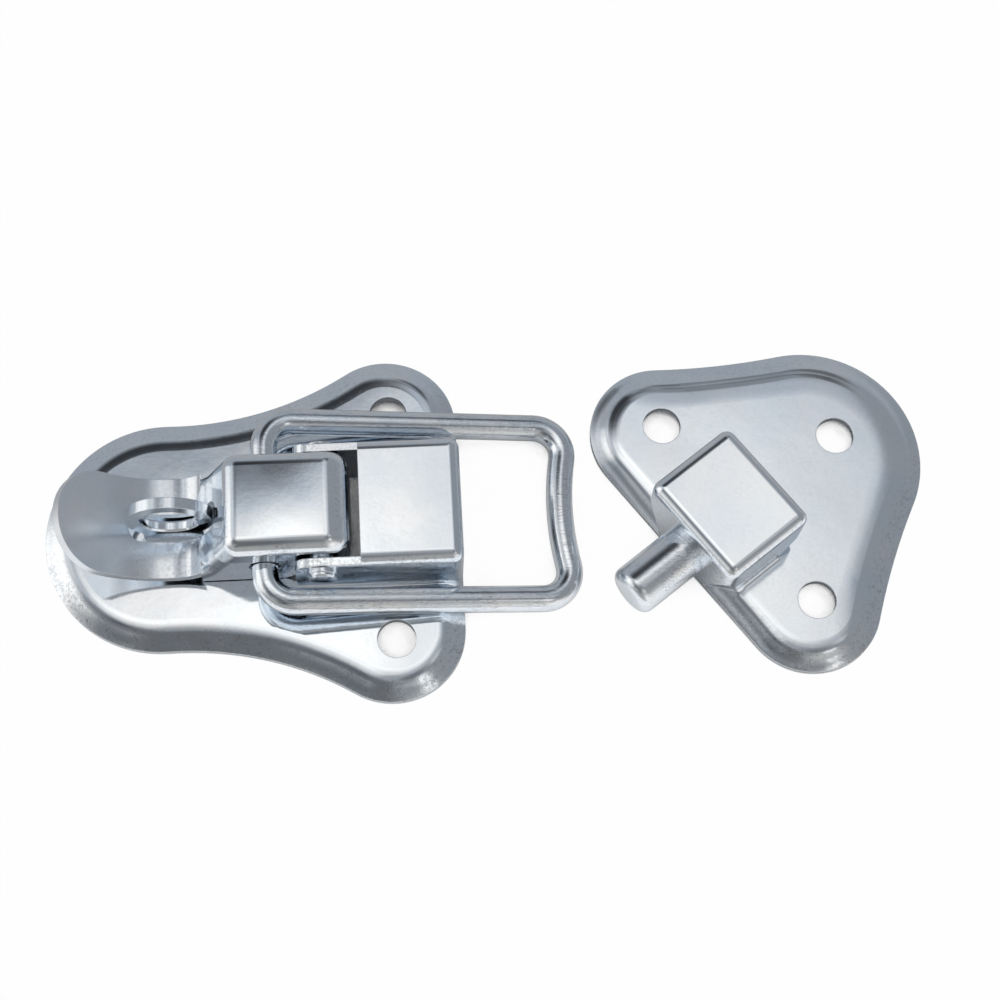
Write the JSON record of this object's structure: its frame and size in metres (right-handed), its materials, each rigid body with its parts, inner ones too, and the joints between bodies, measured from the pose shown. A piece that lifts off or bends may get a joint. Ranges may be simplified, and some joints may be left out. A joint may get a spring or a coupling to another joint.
{
  "type": "over centre toggle latch",
  "caption": "Over-centre toggle latch with a wire bail, a finger paddle, a padlock staple and a separate pinned keeper plate",
  "frame": {"origin": "middle of the latch base's straight closing edge, on the mounting plane that both plates lie on", "axes": "+X points from the latch across the joint towards the keeper's side, +Y to the left of that, +Z away from the mounting plane"},
  "size_m": [0.1206, 0.0486, 0.015],
  "materials": {
    "zinc_sheet": "bright blue-white zinc plate on pressed steel sheet",
    "zinc_wire": "bright blue-white zinc plate on drawn steel wire and bar"
  },
  "bodies": {
    "latch_base": {"base_plate": "zinc_sheet", "pivot_rivet": "zinc_wire", "padlock_staple": "zinc_sheet", "keeper_plate": "zinc_sheet", "locating_pin": "zinc_wire"},
    "lever": {"toggle_lever": "zinc_sheet"},
    "bail": {"bail": "zinc_wire"}
  },
  "joints": [
    {"name": "lever_lift", "type": "hinge", "parent": "latch_base", "child": "lever", "pos_m": [-0.0185, 0, 0.0097], "axis": [0, 1, 0], "range_deg": [0, 90]},
    {"name": "bail_swing", "type": "hinge", "parent": "lever", "child": "bail", "pos_m": [-0.0261, 0, 0.008], "axis": [0, -1, 0], "range_deg": [0, 195]}
  ],
  "couplings": [
    {"joint": "bail_swing", "follows": "lever_lift", "ratio": 1}
  ]
}
